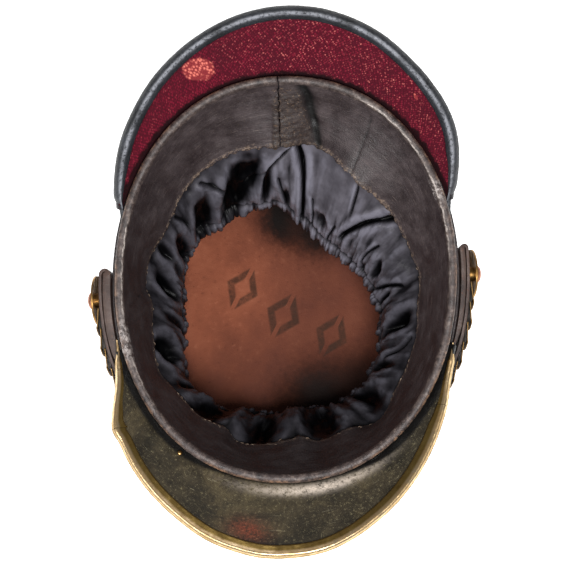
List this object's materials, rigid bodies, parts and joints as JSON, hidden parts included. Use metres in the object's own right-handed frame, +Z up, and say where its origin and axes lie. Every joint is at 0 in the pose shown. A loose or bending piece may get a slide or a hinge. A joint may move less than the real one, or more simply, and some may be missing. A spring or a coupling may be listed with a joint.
{
  "type": "shako hat lying upside down",
  "caption": "Leather shako lying on its flat crown, opening up, with sweatband, gathered satin lining, brass-edged front peak, cloth-lined neck peak and scaled chin strap",
  "frame": {"origin": "centre of the crown's flat outer face, on the surface that the hat lies on", "axes": "+Z up out of the opening, +X the wearer's right, -Y the front peak, +Y the neck peak"},
  "size_m": [0.2007, 0.2693, 0.1535],
  "materials": {
    "felt_wall": "black felt over leather, matt",
    "crown_leather": "bare tan leather inside, dark outside",
    "black_leather": "worn black leather",
    "sweatband_leather": "dark brown leather, worn along the rim",
    "satin": "black satin, gathered",
    "green_leather": "green-black leather, scratched",
    "red_cloth": "dark red woven cloth, worn",
    "binding_leather": "blue-black leather binding",
    "strap_leather": "brown strap leather",
    "brass": "aged brass",
    "copper": "copper-coloured, dull"
  },
  "bodies": {
    "root": {"base_band": "black_leather", "body": "felt_wall", "crown_top": "crown_leather", "front_visor": "green_leather", "front_visor_pin": "brass", "front_visor_trim": "brass", "front_visor_trim_left": "brass", "front_visor_trim_right": "brass", "lining": "satin", "rear_visor": "black_leather", "rear_visor_binding": "binding_leather", "rear_visor_cloth": "red_cloth", "rosette_left": "brass", "rosette_right": "brass", "rosette_screw_left": "copper", "rosette_screw_right": "copper", "scale_left_01": "brass", "scale_left_02": "brass", "scale_left_03": "brass", "scale_left_04": "brass", "scale_left_05": "brass", "scale_left_06": "brass", "scale_left_07": "brass", "scale_left_08": "brass", "scale_left_09": "brass", "scale_left_10": "brass", "scale_left_11": "brass", "scale_left_12": "brass", "scale_left_13": "brass", "scale_right_01": "brass", "scale_right_02": "brass", "scale_right_03": "brass", "scale_right_04": "brass", "scale_right_05": "brass", "scale_right_06": "brass", "scale_right_07": "brass", "scale_right_08": "brass", "scale_right_09": "brass", "scale_right_10": "brass", "scale_right_11": "brass", "scale_right_12": "brass", "scale_right_13": "brass", "scale_right_14": "brass", "strap_keeper": "brass", "strap_left": "strap_leather", "strap_right": "strap_leather", "sweatband": "sweatband_leather"}
  },
  "joints": []
}
